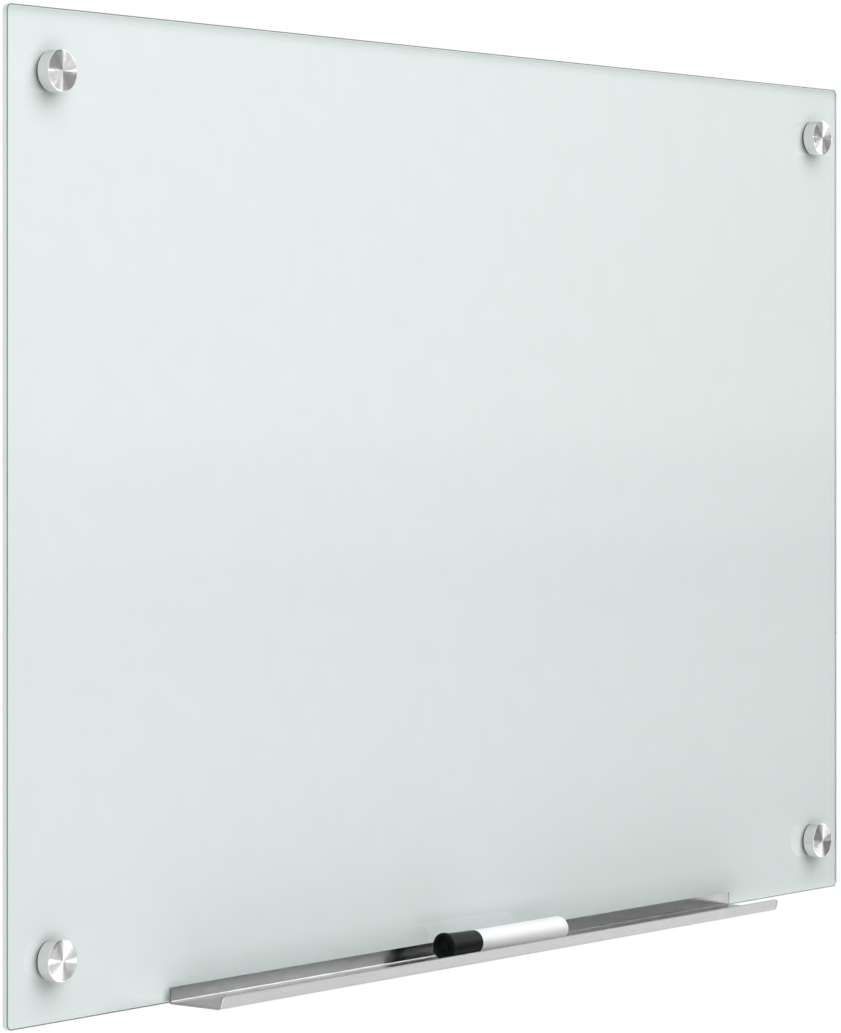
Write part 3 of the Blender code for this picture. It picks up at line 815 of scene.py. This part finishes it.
class MakeCaps(bpy.types.Operator):
    """Turn the four standoff caps, each with the socket for its stud"""

    bl_idname = "whiteboard.caps"
    bl_label = "Standoff caps"

    def execute(self, context):
        edge = context.scene.board_sizes.cap_edge
        bottom = CAP_BACK + CAP_SOCKET_DEPTH
        outline = filleted([(0, bottom, 0), (STUD_BORE, bottom, 0), (STUD_BORE, CAP_BACK, 0.0003),
                            (CAP_RADIUS, CAP_BACK, 0.0004), (CAP_RADIUS, CAP_FRONT, edge), (0, CAP_FRONT, 0)])
        at_each_fixing("cap_turned", outline, "cap", "turned_steel", "standoff_cap")
        return {"FINISHED"}


class MakeStuds(bpy.types.Operator):
    """Cut the thread of the four studs"""

    bl_idname = "whiteboard.studs"
    bl_label = "Studs"

    def execute(self, context):
        sizes = context.scene.board_sizes
        core = STUD_RADIUS - STUD_END_MARGIN
        back, front = STUD_FRONT - STUD_END_DEPTH, STUD_FRONT - STUD_END_INSET
        outline = filleted([(0, back, 0), (core, back, 0), (core, front, 0.0002), (0, front, 0)])
        at_each_fixing("stud_threaded", outline, "cap", "zinc_plated_steel", "stud", tree="threaded",
                       Sides=48, Radius=STUD_RADIUS, Depth=sizes.thread_depth, Pitch=sizes.thread_pitch,
                       From=STUD_BACK, To=front)
        return {"FINISHED"}


class MakeWashers(bpy.types.Operator):
    """Make the soft washers on both sides of the pane, and the sleeves in its holes"""

    bl_idname = "whiteboard.washers"
    bl_label = "Washers and sleeves"

    def execute(self, context):
        front = tube(STUD_BORE, WASHER_RADIUS, GLASS_FRONT + FIT_GAP, CAP_BACK - FIT_GAP)
        at_each_fixing("washer_front", front, "washer", "black_rubber", "front_washer")
        rear = tube(STUD_BORE, WASHER_RADIUS, BARREL_LENGTH + FIT_GAP, GLASS_BACK - FIT_GAP)
        at_fixings("washers_rear", rear, "root", "black_rubber", "rear_washer")
        sleeve = tube(STUD_BORE, SLEEVE_RADIUS, GLASS_BACK, GLASS_FRONT)
        at_fixings("sleeves_nylon", sleeve, "root", "clear_nylon", "glass_sleeve")
        return {"FINISHED"}


class MakeBarrels(bpy.types.Operator):
    """Turn the four barrels that stand on the wall"""

    bl_idname = "whiteboard.barrels"
    bl_label = "Standoff barrels"

    def execute(self, context):
        hole = SCREW_RADIUS + FIT_GAP
        sink = SCREW_HEAD_RADIUS + FIT_GAP * math.sqrt(2)
        outline = filleted([
            (hole, 0, 0), (CAP_RADIUS, 0, BARREL_EDGE), (CAP_RADIUS, BARREL_LENGTH, BARREL_EDGE),
            (STUD_BORE, BARREL_LENGTH, BARREL_EDGE), (STUD_BORE, BARREL_BASE, 0), (sink, BARREL_BASE, 0),
            (hole, BARREL_BASE - (sink - hole), 0)], closed=True)
        at_fixings("barrels_turned", outline, "root", "satin_aluminium", "standoff_barrel")
        return {"FINISHED"}


class MakeScrews(bpy.types.Operator):
    """Make the four wall screws, with their countersunk heads and pointed threads"""

    bl_idname = "whiteboard.screws"
    bl_label = "Wall screws"

    def execute(self, context):
        sizes = context.scene.board_sizes
        neck = SCREW_TOP - (SCREW_HEAD_RADIUS - SCREW_RADIUS)
        shank = neck - SCREW_SHANK
        core = SCREW_RADIUS - 0.0003
        drive = SCREW_TOP - DRIVE_DEPTH
        outline = filleted([
            (0, shank, 0), (core, shank, 0), (core, neck - 0.0005, 0.0004),
            (SCREW_HEAD_RADIUS, SCREW_TOP - SCREW_HEAD_RIM, 0), (SCREW_HEAD_RADIUS, SCREW_TOP, 0.0001),
            (DRIVE_RADIUS, SCREW_TOP, 0.0001), (DRIVE_RADIUS / 4, drive, 0), (0, drive, 0)])
        at_fixings("screws_threaded", outline, "root", "plated_screw", "wall_screw", tree="threaded",
                   Sides=36, Radius=SCREW_RADIUS, Depth=sizes.screw_thread, Pitch=sizes.screw_pitch,
                   From=SCREW_TIP, To=shank + 0.0002, Taper=SCREW_POINT, Tip=0.04, Lead=0.002)
        return {"FINISHED"}


class MakeTray(bpy.types.Operator):
    """Fold the tray from its blank, break its cut edges and finish the tape behind it"""

    bl_idname = "whiteboard.tray"
    bl_label = "Tray and tape"

    def execute(self, context):
        sizes = context.scene.board_sizes
        shape = bmesh.new()
        layer = shape.loops.layers.uv.new("UVMap")
        rings = self.rings(shape, sizes.sheet / 2, sizes.bend + sizes.sheet / 2)
        for (reach, above), (next_reach, below) in zip(rings, rings[1:]):
            for here in range(8):
                after = (here + 1) % 8
                face = shape.faces.new((above[here], above[after], below[after], below[here]))
                face.material_index = 2 if here % 4 == 3 else 0
                for loop, run in zip(face.loops, (reach, reach, next_reach, next_reach)):
                    loop[layer].uv = (loop.vert.co.x, run)
        for reach, ring in (rings[0], rings[-1]):
            for here in range(3):
                face = shape.faces.new((ring[here], ring[here + 1], ring[6 - here], ring[7 - here]))
                face.material_index = 1
                for loop in face.loops:
                    loop[layer].uv = (loop.vert.co.x, reach + loop.vert.co.y)
        # The top cut edges take the painted highlight finish, and the two ends the painted shade finish.
        finishes = [FINISHES[finish] for finish in ("brushed_aluminium", "sheared_edge", "sheared_end")]
        piece = built("tray_folded", shape, finishes)
        bevel = piece.modifiers.new("Broken edges", "BEVEL")
        bevel.width = sizes.edge_break
        bevel.segments = 2
        bevel.limit_method = "ANGLE"
        bevel.angle_limit = CUT_EDGE
        made_plain(piece, bevel)
        settle(piece, "root", ["tray"])
        better_finish("tray_tape", "grey_foam_tape")
        return {"FINISHED"}

    def rings(self, shape, half, radius):
        """Points round the sheet, from the flange's top to the lip's top, each row with its distance
        from the flange's top. Faces 3 and 7 between two rows are at the tray's ends."""
        turn = math.pi / 2 - math.atan2(LIP_LEAN, LIP_HEIGHT)
        back_off = math.tan(turn / 2)
        behind = -TRAY_HIGH.y
        lip_face = -TRAY_LOW.y - LIP_LEAN + half * LIP_LEAN / LIP_HEIGHT
        floor_end = lip_face - (half + radius) * back_off
        stretches = [
            (TRAY_HIGH.z - TRAY_LOW.z - half - radius, 0), (radius * math.pi / 2, math.pi / 2),
            (floor_end - (behind + half + radius), 0), (radius * turn, turn),
            ((LIP_HEIGHT - half) / math.sin(turn) - radius * back_off, 0),
        ]
        rings = []
        for distance, short in self.rows(stretches):
            out, up, heading = self.along(stretches, behind + half, TRAY_HIGH.z, distance)
            aside, rise = -math.sin(heading) * half, math.cos(heading) * half
            left, right = TRAY_LOW.x + short, TRAY_HIGH.x - short
            ends = (left, left + 3 * HOLD, right - 3 * HOLD, right)
            ring = [shape.verts.new((end, -(out + side * aside), up + side * rise))
                    for side, row in ((1, ends), (-1, ends[::-1])) for end in row]
            rings.append((distance, ring))
        return rings

    @staticmethod
    def along(stretches, out, up, distance):
        """Place and heading on the sheet's middle line, at a distance from the flange's top."""
        heading = -math.pi / 2
        for length, turn in stretches:
            run = min(length, distance)
            swing = turn * run / length
            chord = 2 * length / turn * math.sin(swing / 2) if turn else run
            out += chord * math.cos(heading + swing / 2)
            up += chord * math.sin(heading + swing / 2)
            heading += swing
            distance -= run
            if distance <= 0:
                break
        return out, up, heading

    @staticmethod
    def rows(stretches, steps=12):
        """Where the section needs points, and how much shorter the sheet is there."""
        total = sum(length for length, _ in stretches)
        rows = []
        for step in range(steps + 1):
            angle = math.pi / 2 * step / steps
            into, short = 1 - math.cos(angle), 1 - math.sin(angle)
            rows.append((FLANGE_CORNER_RADIUS * into, FLANGE_CORNER_RADIUS * short))
            rows.append((total - LIP_CORNER_RADIUS * into, LIP_CORNER_RADIUS * short))
        passed = 0
        for length, turn in stretches:
            if turn:
                rows += [(passed + length * step / steps, 0) for step in range(steps + 1)]
                rows += [(passed - HOLD, 0), (passed + length + HOLD, 0)]
            passed += length
        return sorted(rows)


# Outlines of the marker, from the closed end of its cap to its far end
CAP_LENGTH = 0.0333
MARKER_LENGTH = 0.1322
RING_RADIUS = 0.0092
RING_WIDTH = 0.003
RING_EDGE = 0.0006
RECESS_RADIUS = 0.00675
RECESS_DEPTH = 0.0025
BOSS_RADIUS = 0.0025
BOSS_TOP = 0.0013
CAP_END_WALL = 0.004
CAP_BODY_RADIUS = 0.0085
CAP_MOUTH_RADIUS = 0.0079
NECK_RADIUS = 0.00785
END_RADIUS = 0.00835
END_ROUNDING = 0.0045
NECK_BORE = 0.0066
END_BORE = 0.0071
COLLAR_RADIUS = 0.0068
COLLAR_FRONT = 0.021015
NOSE_TIP = 0.012006
NOSE_BACK = 0.0416
NIB_TIP = 0.006
NIB_RADIUS = 0.0025
END_SEAM = 0.1272
SEAM_GAP = 0.00005
END_PLUG_FRONT = 0.1212
END_PLUG_RADIUS = 0.006768


class MakeMarkerCap(bpy.types.Operator):
    """Mould the marker's cap, with its gripping ring and the recess in its closed end"""

    bl_idname = "whiteboard.marker_cap"
    bl_label = "Marker cap"

    def execute(self, context):
        bore = COLLAR_RADIUS + FIT_GAP
        tip_bore = bore - 0.0009
        shoulder = COLLAR_FRONT - FIT_GAP
        outline = filleted([
            (0, BOSS_TOP, 0), (BOSS_RADIUS, BOSS_TOP, 0.0003), (BOSS_RADIUS, RECESS_DEPTH, 0.0003),
            (RECESS_RADIUS, RECESS_DEPTH, 0.0004), (RECESS_RADIUS, 0, 0.0005), (RING_RADIUS, 0, RING_EDGE),
            (RING_RADIUS, RING_WIDTH, RING_EDGE), (CAP_BODY_RADIUS, RING_WIDTH, 0.0004),
            (CAP_MOUTH_RADIUS, CAP_LENGTH, 0.0002), (bore, CAP_LENGTH, 0.0003), (bore, shoulder, 0.0002),
            (tip_bore, shoulder, 0.0002), (tip_bore, CAP_END_WALL, 0.0005), (0, CAP_END_WALL, 0)])
        along_marker("marker_cap_moulded", outline, "marker_cap", "black_plastic", "marker_cap")
        return {"FINISHED"}


class MakeMarkerBody(bpy.types.Operator):
    """Mould the marker's barrel, end, nose and nib, and finish the rod that holds its ink"""

    bl_idname = "whiteboard.marker_body"
    bl_label = "Marker body"

    def execute(self, context):
        mouth = CAP_LENGTH + FIT_GAP
        core = NECK_BORE - FIT_GAP
        nib_bore = NIB_RADIUS + FIT_GAP
        barrel = filleted([
            (NECK_BORE, mouth, 0.0002), (NECK_RADIUS, mouth, 0.0002),
            (END_RADIUS, END_SEAM - SEAM_GAP, SEAM_GAP), (END_BORE, END_SEAM - SEAM_GAP, 0)], closed=True)
        along_marker("marker_barrel_moulded", barrel, "marker", "white_plastic", "marker_barrel")
        end = filleted([
            (0, END_PLUG_FRONT, 0), (END_PLUG_RADIUS, END_PLUG_FRONT, 0.0004), (END_PLUG_RADIUS, END_SEAM, 0),
            (END_RADIUS, END_SEAM, SEAM_GAP), (END_RADIUS, MARKER_LENGTH, END_ROUNDING),
            (0, MARKER_LENGTH, 0)], steps=10)
        along_marker("marker_end_moulded", end, "marker", "white_plastic", "marker_end_plug")
        nose = filleted([
            (nib_bore, NOSE_TIP, 0.0002), (nib_bore + 0.001, NOSE_TIP, 0.0004),
            (COLLAR_RADIUS - 0.0012, COLLAR_FRONT, 0.0006), (COLLAR_RADIUS, COLLAR_FRONT, 0.0004),
            (COLLAR_RADIUS, CAP_LENGTH, 0), (core, CAP_LENGTH, 0), (core, NOSE_BACK, 0.0003),
            (nib_bore, NOSE_BACK, 0)], closed=True)
        along_marker("marker_nose_moulded", nose, "marker", "dark_plastic", "marker_nose")
        nib = filleted([(0, NIB_TIP, 0), (NIB_RADIUS, NIB_TIP, NIB_RADIUS * 0.99),
                        (NIB_RADIUS, NOSE_BACK, 0.0002), (0, NOSE_BACK, 0)], steps=10)
        along_marker("marker_nib_felt", nib, "marker", "inked_felt", "marker_nib")
        better_finish("marker_reservoir", "ink_fibre")
        return {"FINISHED"}


# What the room looks like in the pane and in the turned faces, as parts of a unit vector that points
# into it. The pane mirrors the patch between these four sides to the camera.
MIRROR_LEFT, MIRROR_RIGHT = 0.729, 0.841
MIRROR_LOW, MIRROR_HIGH = -0.122, 0.068
MIRROR_MIDDLE = 0.785
CARD_LEVEL = 3.4
STRIP_LEVEL = 13.0
LOW_LEVEL = 1.45
ROOM_LEVEL = 0.31
FLOOR_RADIUS, FLOOR_HEIGHT, FLOOR_GLOW = 1.5, -1.15, 0.65

# Name, place, what it is aimed at, width, height and power of each lamp
LAMPS = (
    ("front_softbox", (-0.4, -2.4, 1.9), (0.0, 0.0, 0.1), 3.4, 3.0, 86.0),
    ("low_softbox", (-0.8, -1.8, -0.75), (0.0, 0.0, -0.1), 1.6, 0.6, 7.0),
)

VIEW_PLACE = (-2.2355, -1.7294, 0.0760)
VIEW_HEADING = -math.radians(51.91)
VIEW_LENS = 144.195
VIEW_SHIFT = -0.1236


class MakeStage(bpy.types.Operator):
    """Set up the floor, the soft lamps, the white surroundings and the camera"""

    bl_idname = "whiteboard.stage"
    bl_label = "Stage"

    def execute(self, context):
        scene = context.scene
        self.floor()
        self.surroundings(scene)
        for name, place, target, width, height, power in LAMPS:
            data = bpy.data.lights.new(name, "AREA")
            data.shape = "RECTANGLE"
            data.size, data.size_y, data.energy = width, height, power
            lamp = in_scene(name, data)
            lamp.location = place
            lamp.rotation_euler = (Vector(target) - Vector(place)).to_track_quat("-Z", "Y").to_euler()
            lamp.visible_camera = lamp.visible_glossy = False
        data = bpy.data.cameras.new("photo_view")
        data.sensor_width = 36
        data.lens = VIEW_LENS
        data.shift_y = VIEW_SHIFT
        data.clip_end = 200
        scene.camera = in_scene("photo_view", data)
        scene.camera.location = VIEW_PLACE
        scene.camera.rotation_euler = (math.pi / 2, 0, VIEW_HEADING)
        scene.view_settings.view_transform = "Standard"
        return {"FINISHED"}

    @staticmethod
    def seen(rays):
        """1 for rays that see the white ground: the camera's, and those of metal and glass."""
        mirrored = maths("MAXIMUM", rays["Is Glossy Ray"], rays["Is Transmission Ray"])
        return maths("MAXIMUM", rays["Is Camera Ray"], mirrored)

    def floor(self):
        """A round white floor, as bright as the ground behind it."""
        made, tree, shader = blank_material("studio_floor", Base_Color=(0.82, 0.82, 0.82), Roughness=0.9,
                                            Specular_IOR_Level=0.0)
        glow = self.seen(results(tree, "ShaderNodeLightPath")) * FLOOR_GLOW
        light = result(tree, "ShaderNodeEmission", {"Strength": glow})
        surface(tree, result(tree, "ShaderNodeAddShader", {0: Value(tree, shader.outputs[0]), 1: light}))
        shape = bmesh.new()
        bmesh.ops.create_circle(shape, cap_ends=True, segments=96, radius=FLOOR_RADIUS)
        floor = built("floor", shape, [made])
        floor.location.z = FLOOR_HEIGHT

    def surroundings(self, scene):
        """The white ground, and the room that only glass and metal mirror."""
        world = bpy.data.worlds.new("studio")
        scene.world = world
        world.use_nodes = True
        world.cycles.sampling_method = "NONE"
        tree = world.node_tree
        rays = results(tree, "ShaderNodeLightPath")
        x, y, z = parts(result(tree, "ShaderNodeTexCoord", output="Generated"))
        # What the glass mirrors: a wide white card over a dark gap
        slope = z / maths("MAXIMUM", y * -1, 0.05)
        column = ramp(slope + 0.6, (0.34, 0.05), (0.415, 0.035), (0.45, 0.16), (0.48, 0.16), (0.515, 0.06),
                      (0.532, 0.085), (0.539, 0.24), (0.545, 0.33), (0.565, 0.35), (0.588, 0.74),
                      (0.76, 0.80), (0.785, 0.05))
        in_column = between(x, 0.700, 0.713) * between(x, 0.852, 0.865, 1.0, 0.0)
        in_rows = between(slope, 0.28, 0.30, 1.0, 0.0) * between(slope, -0.226, -0.220)
        # What the turned faces smear outwards from it: white cards up to the right and down to the left,
        # black flags in the other two corners, and one card and one flag each over and under it
        aside = x - clamped(x, MIRROR_LEFT, MIRROR_RIGHT)
        above = z - clamped(z, MIRROR_LOW, MIRROR_HIGH)
        turn = maths("FRACT", maths("ARCTAN2", aside, above) / math.pi)
        corners = ramp(turn, (0.0, 1.0), (0.22, 1.0), (0.29, 0.5), (0.43, 0.30), (0.47, 0.04), (0.99, 0.03))
        upper = maths("GREATER_THAN", above, 0.0)
        crossed = maths("ABSOLUTE", upper - maths("GREATER_THAN", x, MIRROR_MIDDLE))
        cards = mix(maths("COMPARE", aside, 0.0, 0.0001), corners, ramp(crossed, (0.0, 0.04), (1.0, 1.0)))
        cards = mix(between(x, 0.30, 0.15), cards * CARD_LEVEL, 1.0)
        # The floor, which the tray's lip mirrors
        cards = mix(between(slope, -0.35, -0.45) * in_column, cards, LOW_LEVEL)
        front = mix(in_column * in_rows, cards, column)
        # Two thin strip lamps far to the left, which draw the bright lines across the turned faces
        strips = maths("MAXIMUM", maths("COMPARE", z, MIRROR_HIGH, 0.012),
                       maths("COMPARE", z, MIRROR_LOW, 0.018))
        front = front + strips * maths("COMPARE", x, 0.415, 0.17) * STRIP_LEVEL
        mirrored = mix(between(y, 0.02, -0.06), 1.0, front)
        glossy = maths("SUBTRACT", rays["Is Glossy Ray"], rays["Is Camera Ray"], clamp=True)
        strength = mix(glossy, mix(self.seen(rays), ROOM_LEVEL, 1.0), mirrored)
        ground = tree.nodes["Background"]
        ground.inputs["Color"].default_value = (1, 1, 1, 1)
        tree.links.new(strength.socket, ground.inputs["Strength"])


OPERATORS = (MakePane, MakeCaps, MakeStuds, MakeWashers, MakeBarrels, MakeScrews, MakeTray, MakeMarkerCap,
             MakeMarkerBody, MakeStage)


class BoardPanel(bpy.types.Panel):
    """The whiteboard's pieces, sizes and colours"""

    bl_idname = "VIEW3D_PT_whiteboard"
    bl_label = "Glass whiteboard"
    bl_space_type = "VIEW_3D"
    bl_region_type = "UI"
    bl_category = "Whiteboard"

    def draw(self, context):
        layout = self.layout
        for operator in OPERATORS:
            layout.operator(operator.bl_idname)
        for holder in (context.scene.board_sizes, context.scene.board_colours):
            box = layout.box()
            for name in holder.__annotations__:
                box.prop(holder, name)


CLASSES = (BoardSizes, BoardColours, *OPERATORS, BoardPanel)


def register():
    """Register the classes, and hang the sizes and colours on the scene."""
    for cls in CLASSES:
        bpy.utils.register_class(cls)
    bpy.types.Scene.board_sizes = bpy.props.PointerProperty(type=BoardSizes)
    bpy.types.Scene.board_colours = bpy.props.PointerProperty(type=BoardColours)


def unregister():
    """Take everything out again, in the opposite order."""
    del bpy.types.Scene.board_colours
    del bpy.types.Scene.board_sizes
    for cls in reversed(CLASSES):
        bpy.utils.unregister_class(cls)


def main():
    """Make the whole board and its stage."""
    register()
    make_finishes(bpy.context.scene.board_colours)
    make_trees()
    for operator in OPERATORS:
        space, name = operator.bl_idname.split(".")
        getattr(getattr(bpy.ops, space), name)()


if __name__ == "__main__":
    main()
